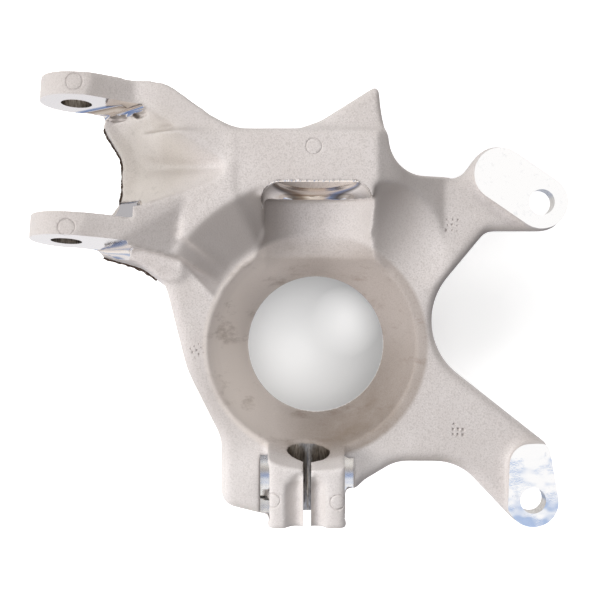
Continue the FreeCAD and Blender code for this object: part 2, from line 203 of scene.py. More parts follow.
# Torn flash: rim lines in x and z with the direction that leads off the metal, and its measures.
FLASH_SEED = 11
WEB_RIM = ((-109.0, 110.5), (-104.0, 104.0), (-101.0, 95.0), (-100.2, 78.0), (-103.5, 71.0))
SKIRT_RIM = ((-108.0, 44.0), (-98.0, 41.5), (-88.0, 36.5), (-81.0, 31.0))
TRIM_LINES = ((WEB_RIM, (-1.0, 0.0)), (SKIRT_RIM, (-0.5, -0.87)))
FLASH_STEP = 0.5
FLASH_WIDTH = 0.5
FLASH_ROOT = 0.9
FLASH_EDGE = 0.05
FLASH_SINK = (0.3, 0.7)
FLASH_THICKNESS = 0.5
FLASH_TAPER = 0.4
FRAY_WINDOW = 5
FRAY_MARGIN = 4
FRAY_GAIN = 4.0
FRAY_CUT = 1.2
RIM_SEARCH = 6
RIM_INSET = 1.6
# Burr along the pocket's edge: the x it runs over, and how its height is drawn. Foot and crest: how far in
# front of the skin and above the edge.
BURR_SEED = 3
BURR_SPAN = (-24.0, 21.0)
BURR_STEP = 0.45
BURR_SEARCH = 6.0
BURR_DROP = 1.5
BURR_HEIGHT = 1.0
BURR_CHANCE = (-1.4, 1.0)
BURR_POWER = 1.5
BURR_SWAY = 0.3
BURR_LEAN = 0.35
BURR_FOOT = (0.04, -0.5)
BURR_CREST = (0.06, 0.08)
BURR_THICKNESS = 0.25

# Regions of the surface, each a set of masks that are multiplied. A mask is a direction, "hub" for the
# distance from the wheel axis or "ball" for that from a point. Then comes the measure in millimetres at
# which it is 0, and the one at which it is 1.
RIGHT = (1, 0, 0)
OUT = (0, 1, 0)
UP = (0, 0, 1)
OUTSIDE = (("hub", 55.5, 58.0),)
INBOARD = ((OUT, -40.0, -46.0),)
# Bowl: a browner and darker tone, partly painted shade, and darker and browner low down.
BOWL = (("hub", 57.5, 55.5), (OUT, -72, -54), (UP, 57, 43), (OUT, -20, -24))
# Painted light on the bowl's left, painted shade on its right.
LIT_BOWL_LEFT = ((RIGHT, 0.0, -40.0),)
SHADED_BOWL_RIGHT = ((RIGHT, -22.0, 4.0),)
BOWL_LOW = (("ball", (24, -42, -36), 46, 10),)
# Painted shade in the recess and its corner, the trough and the hollow.
SHADED_RECESS = INBOARD + OUTSIDE + (("hub", 85.0, 82.5), ((0.73, 0, 0.686), -21.3, -19.8), (RIGHT, -23.5, -27.0),
                              (UP, 8.0, 14.0))
SHADED_RECESS_CORNER = (("ball", (-57, -68, 35), 17, 6),)
SHADED_TROUGH = INBOARD + ((RIGHT, -10.0, -20.0), (RIGHT, -27.0, -24.5), (UP, 36.0, 44.0), (OUT, -74.0, -70.0))
SHADED_HOLLOW = INBOARD + (((0.85, 0, -0.53), 12.0, -8.0), (RIGHT, 29.0, 32.0), (UP, 36.0, 44.0),
                    (OUT, -72.0, -66.0))
# Painted shade on the ear ends, the left flank and the upper branch; painted light on the foot.
SHADED_EAR_ENDS = ((RIGHT, -98.0, -112.0),)
LIT_FOOT = OUTSIDE + ((UP, -34.0, -58.0), (RIGHT, 52.0, 34.0))
SHADED_LEFT_FLANK = OUTSIDE + (("ball", (-62, -68, -32), 34, 8),)
SHADED_UPPER_BRANCH = (("ball", (-64, -76, 116), 30, 12),)
SADDLE = (("ball", (-88, -60, 92), 34, 20),)
LOWER_LUG = (("ball", (110, -52, -76), 30, 22),)
EARS = ((RIGHT, -84.0, -90.0),)
REAR = ((OUT, 20.0, 24.0),)
SKIRT_FACING = (("ball", (-100, -56, 66), 15, 11),)
POCKET_WALL = (("ball", (0, -66, 80), 33, 30),)
CLAMP_SEATS = (("ball", (-4.7, -66, -70), 33, 30),)
# Painted shadows and a painted light spot on the table top.
HUB_VIEW = (("hub", 60, 54),)
HUB_SHADE = (("ball", (-11, BARREL_END, -6), 6, 54),)
HUB_GLINT = (("ball", (17, BARREL_END, 11), 20, 3),)
SIDE_SHADE = (("ball", (88, BARREL_END, 12), 72, 15),)

# Tones of the forged skin from the bottom up: colour, share, region, and a pattern that breaks it up. Most
# are painted light and shade: painted shade in the recess, the trough and the hollow, on the bowl's right,
# the ear ends, the left flank and the upper branch, and painted light on the bowl's left and the foot. The
# skin is painted lighter where it faces the light and darker where it faces away. The bowl is browner and
# darker, partly painted shade, and darker and browner still low down. Graphite from the die lies as smears in
# the bowl.
AWAY_FROM_LIGHT = (0.75, 0.0, -0.66)
FORGED_TONES = (
    ("#ab9b8f", 0.30, BOWL, None),
    ("#e2d8d0", 0.90, BOWL + LIT_BOWL_LEFT, None),
    ("#85745f", 0.90, BOWL + BOWL_LOW, "cloud"),
    ("#7b6c60", 0.34, BOWL + SHADED_BOWL_RIGHT, None),
    ("#a59d99", 0.62, SHADED_RECESS, None),
    ("#7d7571", 0.55, SHADED_RECESS + SHADED_RECESS_CORNER, None),
    ("#a79e98", 0.35, SHADED_TROUGH, None),
    ("#a39b97", 0.70, SHADED_HOLLOW, None),
    ("#8f8782", 1.00, OUTSIDE, "turned_from_light"),
    ("#ece6e2", 0.45, OUTSIDE, "hit"),
    ("#a79f9a", 0.28, SHADED_EAR_ENDS, None),
    ("#f1ece9", 0.24, LIT_FOOT, None),
    ("#a79f9a", 0.42, SHADED_LEFT_FLANK, None),
    ("#a79f9a", 0.35, SHADED_UPPER_BRANCH, None),
    ("#76614f", 0.50, BOWL, "smear"),
    ("#c4bcae", 0.35, SADDLE, None),
    ("#a8a29a", 0.25, SADDLE, "blot"),
)
# Painted reflections on the pocket's wall: colour over the direction it faces, from the right to the left.
POCKET_PAINTED_REFLECTIONS = ((0.0, "#b4b2af"), (0.12, "#e6e4e2"), (0.27, "#ffffff"), (0.34, "#8a8684"), (0.40, "#a39386"),
               (0.46, "#fbf3ea"), (0.55, "#f3e9e0"), (0.60, "#8a9bc0"), (0.65, "#77767a"), (0.71, "#ffffff"),
               (0.88, "#e6e4e2"), (1.0, "#aaa8a5"))
CHATTER_CENTER = (104.0, -52.0, -60.0)

# Studio in metres, apart from the camera's place and the table in millimetres: camera, lights with their
# watts, and the strengths of the tent's soft light, its reflections and the table's glow.
CAMERA_PLACE = (-8.2, -875.0, 23.0)
FOCAL_PIXELS = 1626.6
PHOTO_PIXELS = 600
SENSOR = 36.0
LIGHT_SIZE = 0.7
LIGHTS = (("key", (-1.47, -1.08, 0.02), (0, -0.05, 0.02), 20),
          ("front", (0.0, -1.85, 0.02), (0, -0.05, 0.02), 7.5),
          ("top", (0.66, -1.0, 1.40), (0, -0.05, 0.02), 12),
          ("low", (-0.75, -0.95, -1.10), (0, -0.05, -0.04), 13))
AMBIENT = 0.25
REFLECTIONS = 1.05
GLOW = 0.55
TABLE_HALF = 700.0
TABLE_GAP = 0.4
# Colour that the tent shows in reflections, from straight down to straight up.
REFLECTED_BANDS = ((0.0, "#e9e6e3"), (0.10, "#8b7f76"), (0.14, "#d9dde4"), (0.17, "#5f7db8"),
                   (0.26, "#a3b4d4"), (0.30, "#eef1f8"), (0.37, "#f4f6fb"), (0.40, "#b9caea"),
                   (0.425, "#a9bee2"), (0.447, "#fbfcff"), (0.80, "#ffffff"), (1.0, "#c9c9cc"))


def fork_matrix(origin):
    """Frame whose Z is the fork axis and whose X runs level towards the hub."""
    z = FORK_AXIS
    x = (Vector((1, 0, 0)) - z * z.x).normalized()
    y = z.cross(x)
    m = Matrix((x, y, z)).transposed().to_4x4()
    m.translation = origin
    return m


# Local frames: Z along the fork axis, the pocket's cutter, the stud bore, the wheel axis and the X axis.
IDENTITY = Matrix.Identity(4)
FORK = fork_matrix(FORK_CENTER)
POCKET = (Matrix.Translation((0, POCKET_AXIS_Y, POCKET_CEILING))
          @ Matrix.Rotation(math.radians(-POCKET_TILT), 4, "X"))
CLAMP = Matrix.Translation(CLAMP_TOP) @ Matrix.Rotation(math.radians(CLAMP_TILT), 4, "X")
OUTBOARD = Matrix(((1, 0, 0), (0, 0, 1), (0, -1, 0))).to_4x4()
ALONG_X = Matrix(((0, 0, 1), (0, 1, 0), (-1, 0, 0))).to_4x4()
PINCH = CLAMP @ Matrix.Translation((0, PINCH_Y, PINCH_DROP)) @ ALONG_X
PINCH_SEATS = CLAMP @ Matrix.Translation((0, PINCH_Y + SEAT_OFFSET, PINCH_DROP)) @ ALONG_X


def in_scene(name, data):
    """New object in the scene that shows a mesh, a light or a camera."""
    obj = bpy.data.objects.new(name, data)
    bpy.context.scene.collection.objects.link(obj)
    return obj


def mesh_object(name, vertices, faces):
    """Object from points in millimetres and faces."""
    mesh = bpy.data.meshes.new(name)
    mesh.from_pydata([tuple(v) for v in np.asarray(vertices) * MM], [], [list(map(int, f)) for f in faces])
    mesh.validate()
    mesh.update()
    return in_scene(name, mesh)


def placed(points, matrix):
    """Points moved from a local frame into the knuckle's."""
    m = np.array(matrix)
    return points @ m[:3, :3].T + m[:3, 3]


def turned(name, profile, matrix=IDENTITY, around=FACETS):
    """Closed solid of revolution: the (radius, height) profile, closed on its axis, swept round local Z."""
    profile = np.asarray(profile, float)
    angle = np.linspace(0, 2 * np.pi, around, endpoint=False)
    r, h = profile[:, 0], profile[:, 1]
    heights = np.outer(h, np.ones(around))
    ring = np.stack([np.outer(r, np.cos(angle)), np.outer(r, np.sin(angle)), heights], -1)
    n = len(profile)
    i = np.arange(n - 1)[:, None] * around + np.arange(around)
    j = np.arange(n - 1)[:, None] * around + (np.arange(around) + 1) % around
    faces = np.stack([i, j, j + around, i + around], -1).reshape(-1, 4).tolist()
    faces.append(list(range(around))[::-1])
    faces.append(list(range((n - 1) * around, n * around)))
    return mesh_object(name, placed(ring.reshape(-1, 3), matrix), faces)


def cylinder(name, radius, low, high, matrix=IDENTITY, around=FACETS):
    """Closed cylinder round local Z between two heights."""
    return turned(name, [(radius, low), (radius, high)], matrix, around)


def prism(name, outline, low, high, matrix=IDENTITY):
    """Closed solid between two heights of local Z, over an outline in local X and Y."""
    outline = np.asarray(outline, float)
    n = len(outline)
    points = np.vstack([np.c_[outline, np.full(n, low)], np.c_[outline, np.full(n, high)]])
    faces = [[k, (k + 1) % n, (k + 1) % n + n, k + n] for k in range(n)]
    faces.append(list(range(n))[::-1])
    faces.append(list(range(n, 2 * n)))
    return mesh_object(name, placed(points, matrix), faces)


def box_outline(x0, x1, y0, y1):
    """Rectangle between two x and two y."""
    return [(x0, y0), (x1, y0), (x1, y1), (x0, y1)]


def seen_from_front(outline):
    """Outline in x and z of the knuckle, turned into the local X and Y of the outboard frame."""
    return [(x, -z) for x, z in outline]


def arc(cx, cy, radius, start, end, count=40):
    """Points on a circle between two angles in degrees."""
    t = np.radians(np.linspace(start, end, count))
    return list(zip(cx + radius * np.cos(t), cy + radius * np.sin(t)))


def ear_outline(front):
    """Tongue of one ear in the fork frame: half a circle round the hole, and a front that falls back."""
    return arc(0, 0, EAR_STOCK_RADIUS, 90, 270) + front + [EAR_STOCK_CORNER]


def facing_outline(reach):
    """Path of the facing cutter: straight in past the ear ends, with the arc of the cutter where it stops."""
    r = FACING_RADIUS
    return arc(reach - r, 0, r, -90, 90) + [(FACING_START, r), (FACING_START, -r)]


def stadium(start, end, radius):
    """Two half circles round two points, joined by straight sides."""
    direction = math.degrees(math.atan2(end[1] - start[1], end[0] - start[0]))
    return (arc(*end, radius, direction - 90, direction + 90)
            + arc(*start, radius, direction + 90, direction + 270))


def clamp_box(x0, x1, y0, y1):
    """Rectangle in the clamp's frame, with x measured from the clamp's middle."""
    return box_outline(CLAMP_CENTER + x0, CLAMP_CENTER + x1, y0, y1)


def rounded(corners, steps=10):
    """Closed outline through corners (x, z, radius), with a tangent arc at each one."""
    points = []
    for i, (x, z, radius) in enumerate(corners):
        here = np.array((x, z))
        into = np.array(corners[i - 1][:2]) - here
        out = np.array(corners[(i + 1) % len(corners)][:2]) - here
        into /= np.linalg.norm(into)
        out /= np.linalg.norm(out)
        half = math.acos(float(into @ out)) / 2
        bisector = (into + out) / np.linalg.norm(into + out)
        center = here + bisector * radius / math.sin(half)
        start = here + into * radius / math.tan(half) - center
        end = here + out * radius / math.tan(half) - center
        sweep = math.atan2(start[0] * end[1] - start[1] * end[0], float(start @ end))
        t = math.atan2(start[1], start[0]) + sweep * np.linspace(0, 1, steps)
        points += list(zip(center[0] + radius * np.cos(t), center[1] + radius * np.sin(t)))
    return points


def at_hole(x, z):
    """Outboard frame over a caliper hole."""
    return Matrix.Translation((x, 0, z)) @ OUTBOARD


def stock():
    """Metal that the forging has until it is milled and bored. It fills the holes and stands on the faces."""
    ears = ((EAR_LOW - STOCK, EAR_LOW + SUNK, UPPER_FRONT + UPPER_END),
            (EAR_HIGH - SUNK, EAR_HIGH + STOCK, UPPER_FRONT + PLAIN_END),
            (-EAR_LOW - SUNK, -EAR_LOW + STOCK, LOWER_FRONT + PLAIN_END),
            (-EAR_HIGH - STOCK, -EAR_HIGH + SUNK, LOWER_FRONT + LOWER_END))
    lug = (LUG_FACE - STOCK, LUG_FACE + LUG_STOCK_SUNK, OUTBOARD)
    slit = clamp_box(-CLAMP_SLIT / 2 - FILL, CLAMP_SLIT / 2 + FILL, CLAMP_FRONT, 0)
    pocket = arc(0, POCKET_AXIS_Y, POCKET_RADIUS + PLUG_END, -10, 190, 80)
    return [
        *[prism("ear_stock", ear_outline(front), low, high, FORK) for low, high, front in ears],
        *[cylinder("ear_plug", FORK_BORE / 2 + FILL, low - PLUG_END, low + EAR_THICKNESS + PLUG_END, FORK)
          for low in (EAR_LOW, -EAR_HIGH)],
        prism("lug_stock", seen_from_front(stadium(UPPER_INNER, UPPER_HOLE, LUG_STOCK_RADIUS)), *lug),
        *[cylinder("lug_plug", CALIPER_BORE / 2 + FILL, LUG_FACE - SUNK, LUG_BACK, at_hole(*hole))
          for hole in (UPPER_HOLE, LOWER_HOLE)],
        prism("lug_stock", seen_from_front(rounded(LOWER_PAD)), *lug),
        cylinder("hub_plug", BEARING_RADIUS + GROOVE_DEPTH + FILL, -BEARING_HALF - PLUG_END, BARREL_END,
                 OUTBOARD),
        cylinder("lip_plug", LIP_RADIUS + FILL, LIP_FRONT, 0, OUTBOARD),
        cylinder("barrel_stock", BARREL_STOCK_RADIUS, BARREL_END - SUNK, BARREL_END + STOCK, OUTBOARD),
        cylinder("stud_plug", CLAMP_BORE / 2 + FILL, -CLAMP_LENGTH, STUD_PLUG_TOP, CLAMP),
        prism("slit_plug", slit, -CLAMP_LENGTH, SLIT_PLUG_TOP, CLAMP),
        cylinder("pinch_plug", PINCH_BORE / 2 + FILL, CLAMP_CENTER - CLAMP_HALF, CLAMP_CENTER + CLAMP_HALF,
                 PINCH),
        prism("pocket_plug", pocket, *POCKET_PLUG)]


def bearing_seat_profile():
    """Radius and height of the boring tool: seat, circlip groove, and the chamfer at the mouth."""
    r = BEARING_RADIUS
    groove = r + GROOVE_DEPTH
    mouth = r + MOUTH_CHAMFER + MOUTH_OVERRUN
    return [(r, -BEARING_HALF), (r, BEARING_HALF),
            (groove, BEARING_HALF), (groove, BEARING_HALF + GROOVE_WIDTH), (r, BEARING_HALF + GROOVE_WIDTH),
            (r, BARREL_END - MOUTH_CHAMFER), (mouth, BARREL_END + MOUTH_OVERRUN),
            (mouth, BARREL_END + MOUTH_CUTTER)]


def pocket_profile():
    """Radius and height of the pocket's cutter, whose corner is round."""
    c = POCKET_CORNER
    return [(POCKET_RADIUS, POCKET_CUTTER)] + arc(POCKET_RADIUS - c, -c, c, 0, 90, 16)


def cutters():
    """Tools that mill, bore and turn the forging, each with the finish that it leaves."""
    ears = ((EAR_LOW - UNDER_FACING_HEIGHT, EAR_LOW + SKIM, UPPER_FACING_PATH),
            (-EAR_LOW, -EAR_LOW + LOWER_FACING_HEIGHT, facing_outline(UPPER_SIDE_REACH)),
            (-EAR_HIGH - UNDER_FACING_HEIGHT, -EAR_HIGH + SKIM, facing_outline(SKIRT_REACH)),
            (EAR_HIGH, EAR_HIGH + FACING_HEIGHT, facing_outline(TOP_REACH)))
    reamer = EAR_HIGH + REAMER_OVERRUN
    square = box_outline(-BARREL_FACING, BARREL_FACING, -BARREL_FACING, BARREL_FACING)
    slit = clamp_box(-CLAMP_SLIT / 2, CLAMP_SLIT / 2, *SAW_REACH)
    bottom = -CLAMP_LENGTH - CLAMP_OVERRUN
    seats = (CLAMP_CENTER - CLAMP_HALF + SEAT_DEPTH - SEAT_CUTTER, CLAMP_CENTER + CLAMP_HALF - SEAT_DEPTH)
    return [
        *[(prism("facing", outline, low, high, FORK), "milled") for low, high, outline in ears],
        (cylinder("fork_reamer", FORK_BORE / 2, -reamer, reamer, FORK), "bored"),
        *[(prism("lug_facing", seen_from_front(box_outline(*sides))[::-1], LUG_FACE - CUTTER_HEIGHT, LUG_FACE,
                 OUTBOARD), "milled") for sides in LUG_FACINGS],
        *[(cylinder("caliper_drill", CALIPER_BORE / 2, LUG_FACE - OVERRUN, LUG_BACK + OVERRUN,
                    at_hole(*hole)), "bored") for hole in (UPPER_HOLE, LOWER_HOLE)],
        (prism("barrel_facing", square, BARREL_END, BARREL_END + CUTTER_HEIGHT, OUTBOARD), "milled"),
        (cylinder("lip_bore", LIP_RADIUS, -THROUGH, THROUGH, OUTBOARD, FINE_FACETS), "bored"),
        (turned("bearing_seat", bearing_seat_profile(), OUTBOARD, FINE_FACETS), "bored"),
        (turned("pocket_cutter", pocket_profile(), POCKET, POCKET_FACETS), "milled"),
        (cylinder("stud_reamer", CLAMP_BORE / 2, bottom, THROUGH, CLAMP), "bored"),
        (prism("slitting_saw", slit, bottom, SAW_TOP, CLAMP), "bored"),
        (cylinder("pinch_drill", PINCH_BORE / 2, -THROUGH, THROUGH, PINCH), "bored"),
        *[(cylinder("seat_cutter", SEAT_DIAMETER / 2, low, low + SEAT_CUTTER, PINCH_SEATS), "milled")
          for low in seats]]


def linear(value):
    """Colour written as sRGB hex, turned into linear light."""
    c = np.array([int(value[i:i + 2], 16) for i in (1, 3, 5)]) / 255
    c = np.where(c <= 0.04045, c / 12.92, ((c + 0.055) / 1.055) ** 2.4)
    return (*c, 1.0)


def add(tree, kind, settings=None, links=None):
    """One node with its settings, and the sockets that feed it."""
    node = tree.nodes.new(kind)
    for key, value in (settings or {}).items():
        if key in node.inputs:
            node.inputs[key].default_value = value
        else:
            setattr(node, key, value)
    for socket, source in (links or {}).items():
        tree.links.new(source, node.inputs[socket])
    return node


def material(name):
    """Empty material, its node tree and the object's own coordinates."""
    mat = bpy.data.materials.new(name)
    mat.use_nodes = True
    tree = mat.node_tree
    tree.nodes.clear()
    return mat, tree, add(tree, "ShaderNodeTexCoord").outputs["Object"]


def finish_with(tree, shader, kind="ShaderNodeOutputMaterial"):
    """Connects a shader to the tree's output."""
    add(tree, kind, {}, {"Surface": shader.outputs[0]})


def either(tree, factor, low, high):
    """Mix of two shaders by a factor socket."""
    node = add(tree, "ShaderNodeMixShader", {}, {"Fac": factor})
    tree.links.new(low.outputs[0], node.inputs[1])
    tree.links.new(high.outputs[0], node.inputs[2])
    return node


def blend(tree, factor, low, high):
    """Mix of two colours by a factor socket. Each colour is a hex value or a socket."""
    node = add(tree, "ShaderNodeMix", {"data_type": "RGBA"}, {"Factor": factor})
    for socket, value in (("A", low), ("B", high)):
        if isinstance(value, str):
            node.inputs[socket].default_value = linear(value)
        else:
            tree.links.new(value, node.inputs[socket])
    return node.outputs["Result"]


def noise(tree, vector, millimetres, detail=2.0, roughness=0.5):
    """Noise whose features have about the given real size."""
    settings = {"Scale": 1 / (millimetres * MM), "Detail": detail, "Roughness": roughness}
    return add(tree, "ShaderNodeTexNoise", settings, {"Vector": vector}).outputs["Fac"]


def ramp(tree, value, start, end):
    """0 at start, 1 at end, and clamped outside."""
    node = add(tree, "ShaderNodeMapRange", {"From Min": start, "From Max": end}, {"Value": value})
    return node.outputs["Result"]


def between(tree, mask, outside, inside):
    """Value that goes from one number outside a mask to another inside it."""
    node = add(tree, "ShaderNodeMapRange", {"To Min": outside, "To Max": inside}, {"Value": mask})
    return node.outputs["Result"]


def times(tree, a, b):
    """Product of two values, each a number or a socket."""
    node = add(tree, "ShaderNodeMath", {"operation": "MULTIPLY"})
    for socket, value in zip(node.inputs, (a, b)):
        if isinstance(value, float):
            socket.default_value = value
        else:
            tree.links.new(value, socket)
    return node.outputs["Value"]


def all_of(tree, *masks):
    """Product of several masks."""
    result = masks[0]
    for mask in masks[1:]:
        result = times(tree, result, mask)
    return result


def vector_math(tree, operation, vector, other, output="Value"):
    """Vector operation of a socket and a fixed vector."""
    node = add(tree, "ShaderNodeVectorMath", {"operation": operation}, {0: vector})
    node.inputs[1].default_value = other
    return node.outputs[output]


def along(tree, place, direction, start, end):
    """0 at one distance in millimetres along a direction, 1 at another, and clamped outside."""
    return ramp(tree, vector_math(tree, "DOT_PRODUCT", place, direction), start * MM, end * MM)


def from_hub(tree, place, start, end):
    """0 at one distance from the wheel axis in millimetres, and 1 at another."""
    flat = vector_math(tree, "MULTIPLY", place, (1, 0, 1), "Vector")
    size = add(tree, "ShaderNodeVectorMath", {"operation": "LENGTH"}, {0: flat})
    return ramp(tree, size.outputs["Value"], start * MM, end * MM)


def from_point(tree, place, center, start, end):
    """0 at one distance from a point in millimetres, and 1 at another."""
    return ramp(tree, vector_math(tree, "DISTANCE", place, Vector(center) * MM), start * MM, end * MM)


def region(tree, place, rows):
    """Mask of one of the regions named at the top."""
    masks = []
    for kind, *measures in rows:
        if kind == "hub":
            masks.append(from_hub(tree, place, *measures))
        elif kind == "ball":
            masks.append(from_point(tree, place, *measures))
        else:
            masks.append(along(tree, place, kind, *measures))
    return all_of(tree, *masks)


def facing(tree, direction, start, end):
    """0 where the cosine between the face and a direction is one value, 1 where it is another."""
    normal = add(tree, "ShaderNodeTexCoord").outputs["Normal"]
    return ramp(tree, vector_math(tree, "DOT_PRODUCT", normal, direction), start, end)


def bump(tree, height, distance, strength, below=None):
    """Bump of a height in millimetres, on top of another one. Its strength is a number or a socket."""
    node = add(tree, "ShaderNodeBump", {"Distance": distance * MM}, {"Height": height})
    if isinstance(strength, float):
        node.inputs["Strength"].default_value = strength
    else:
        tree.links.new(strength, node.inputs["Strength"])
    if below is not None:
        tree.links.new(below, node.inputs["Normal"])
    return node.outputs["Normal"]


def colour_stops(color_ramp, stops):
    """Puts (position, hex colour) stops on a ramp that has its two first ones."""
    for stop, (position, color) in zip(color_ramp.elements, (stops[0], stops[-1])):
        stop.position, stop.color = position, linear(color)
    for position, color in stops[1:-1]:
        color_ramp.elements.new(position).color = linear(color)


def blasted_forging():
    """Forged aluminium, shot blasted after trimming. The shot leaves a dense fine dimpling that scatters the
    light to a matte warm grey with a faint glitter. Graphite from the die stays as smears in the bowl. Most
    of its other tones are painted light and painted shade."""
    mat, tree, place = material("shot_blasted_forged_aluminium")
    shot = noise(tree, place, 0.75, 2.0, 0.6)
    speck = noise(tree, place, 0.42, 1.0, 0.5)
    stretched = add(tree, "ShaderNodeMapping", {"Scale": (1.0, 1.0, 2.6), "Rotation": (0.0, 0.35, 0.0)},
                    {"Vector": place}).outputs["Vector"]
    patterns = {"cloud": ramp(tree, noise(tree, place, 34, 4.0, 0.6), 0.32, 0.68),
                # Painted light and shade: the skin lighter where it faces the light (hit), darker where it
                # faces away.
                "turned_from_light": facing(tree, AWAY_FROM_LIGHT, 0.03, 0.95),
                "hit": facing(tree, [-v for v in AWAY_FROM_LIGHT], 0.05, 1.0),
                "smear": ramp(tree, noise(tree, stretched, 26, 6.0, 0.68), 0.55, 0.72),
                "blot": ramp(tree, noise(tree, place, 5, 2.0, 0.5), 0.60, 0.70)}
    base = blend(tree, patterns["cloud"], "#c8c0bc", "#d2cbc8")
    base = blend(tree, times(tree, ramp(tree, shot, 0.46, 0.66), 0.5), base, "#a79f9a")
    base = blend(tree, times(tree, ramp(tree, speck, 0.6, 0.72), 0.5), base, "#ebe7e4")
    for color, share, rows, pattern in FORGED_TONES:
        mask = times(tree, region(tree, place, rows), share)
        if pattern:
            mask = times(tree, mask, patterns[pattern])
        base = blend(tree, mask, base, color)
    dimples = add(tree, "ShaderNodeTexVoronoi", {"Scale": 1 / (0.8 * MM)}, {"Vector": place})
    rough = bump(tree, shot, 0.10, 0.55)
    pits = bump(tree, dimples.outputs["Distance"], 0.08, 0.35, rough)
    finish_with(tree, add(tree, "ShaderNodeBsdfPrincipled", {"Metallic": 0.2, "Roughness": 0.62},
                          {"Base Color": base, "Normal": pits}))
    return mat


def milled_aluminium():
    """Aluminium faced with a milling cutter: close to a mirror. The cutter's arcs bend the reflections a
    little, and on the lower lug it chattered, which breaks them up into patches. On the pocket's wall the
    reflections are painted into the colour."""
    mat, tree, place = material("milled_aluminium")
    about = vector_math(tree, "SUBTRACT", place, Vector(CHATTER_CENTER) * MM, "Vector")
    rings = add(tree, "ShaderNodeTexWave", {"wave_type": "RINGS", "rings_direction": "SPHERICAL",
                                            "Scale": 1 / (26.0 * MM), "Distortion": 3.0, "Detail": 2.0},
                {"Vector": about})
    chatter = region(tree, place, LOWER_LUG)
    speckled = times(tree, chatter, ramp(tree, noise(tree, place, 9.0, 2.0, 0.5), 0.50, 0.60))
    feed = bump(tree, rings.outputs["Fac"], 0.02, between(tree, chatter, 0.05, 0.30))
    bend = bump(tree, noise(tree, place, 17, 2.0, 0.5), 0.5, between(tree, chatter, 0.05, 0.75), feed)
    fine = bump(tree, noise(tree, place, 1.3, 3.0, 0.7), 0.05, between(tree, speckled, 0.02, 0.60), bend)
    scuff = ramp(tree, noise(tree, place, 5.0, 4.0, 0.7), 0.58, 0.74)
    ears = region(tree, place, EARS)
    rear = region(tree, place, REAR)
    base = blend(tree, times(tree, scuff, 0.35), "#fbf9f6", "#dfdfe1")
    base = blend(tree, ears, base, "#ece3db")
    base = blend(tree, rear, base, "#e6ddd2")
    base = blend(tree, region(tree, place, SKIRT_FACING), base, "#b0adae")
    # Painted reflections on the pocket's wall, by the direction it faces.
    arcs = add(tree, "ShaderNodeValToRGB", {}, {"Fac": facing(tree, RIGHT, 1.0, -1.0)})
    colour_stops(arcs.color_ramp, POCKET_PAINTED_REFLECTIONS)
    base = blend(tree, region(tree, place, POCKET_WALL), base, arcs.outputs["Color"])
    soft = blend(tree, region(tree, place, CLAMP_SEATS), between(tree, scuff, 0.05, 0.18), "#8d8d8d")
    soft = blend(tree, ears, soft, "#606060")
    soft = blend(tree, rear, soft, "#989898")
    finish_with(tree, add(tree, "ShaderNodeBsdfPrincipled", {"Metallic": 1.0},
                          {"Base Color": base, "Roughness": soft, "Normal": fine}))
    return mat


def bored_aluminium():
    """Aluminium bored and reamed: a greyer bright wall with fine rings from the turning feed and dark streaks
    where the coolant dried."""
    mat, tree, place = material("bored_aluminium")
    squeezed = add(tree, "ShaderNodeMapping", {"Scale": (3.0, 3.0, 0.4)}, {"Vector": place}).outputs["Vector"]
    streak = ramp(tree, noise(tree, squeezed, 2.5, 3.0, 0.6), 0.35, 0.65)
    marks = bump(tree, noise(tree, place, 0.6, 2.0, 0.5), 0.04, 0.3)
    finish_with(tree, add(tree, "ShaderNodeBsdfPrincipled", {"Metallic": 1.0, "Roughness": 0.28},
                          {"Base Color": blend(tree, streak, "#8f857b", "#d2ccc4"), "Normal": marks}))
    return mat


def torn_aluminium():
    """Aluminium torn in the trimming press and left unblasted, with a few bright tears. Its dark colour is
    painted shade along the torn rims."""
    mat, tree, place = material("torn_flash_painted_shade")
    tears = ramp(tree, noise(tree, place, 1.1, 3.0, 0.7), 0.56, 0.64)
    # The dark colour is painted shade along the torn rims.
    finish_with(tree, add(tree, "ShaderNodeBsdfPrincipled", {"Metallic": 0.5, "Roughness": 0.7},
                          {"Base Color": blend(tree, tears, "#43352c", "#a1958b")}))
    return mat


FINISHES = {"forged": blasted_forging(), "milled": milled_aluminium(), "bored": bored_aluminium(),
            "torn": torn_aluminium()}


def joined(name, objects):
    """One object from the meshes of several."""
    bm = bmesh.new()
    for obj in objects:
        bm.from_mesh(obj.data)
    bmesh.ops.remove_doubles(bm, verts=bm.verts, dist=0.0005 * MM)
    mesh = bpy.data.meshes.new(name)
    bm.to_mesh(mesh)
    bm.free()
    return in_scene(name, mesh)


def discard(obj):
    """Removes an object and its mesh."""
    mesh = obj.data
    bpy.data.objects.remove(obj)
    bpy.data.meshes.remove(mesh)


def remesh(obj, size):
    """Even skin over the whole form, with each edge about the given size in millimetres."""
    obj.data.remesh_voxel_size = size * MM
    obj.data.remesh_voxel_adaptivity = 0.0
    bpy.context.view_layer.objects.active = obj
    with bpy.context.temp_override(active_object=obj, object=obj, selected_objects=[obj]):
        bpy.ops.object.voxel_remesh()


def read_points(mesh):
    """Points of a mesh as rows of an array, in metres."""
    points = np.empty(len(mesh.vertices) * 3)
    mesh.vertices.foreach_get("co", points)
    return points.reshape(-1, 3)


def write_points(mesh, points):
    """Moves the points of a mesh to the rows of an array."""
    mesh.vertices.foreach_set("co", points.ravel())
    mesh.update()


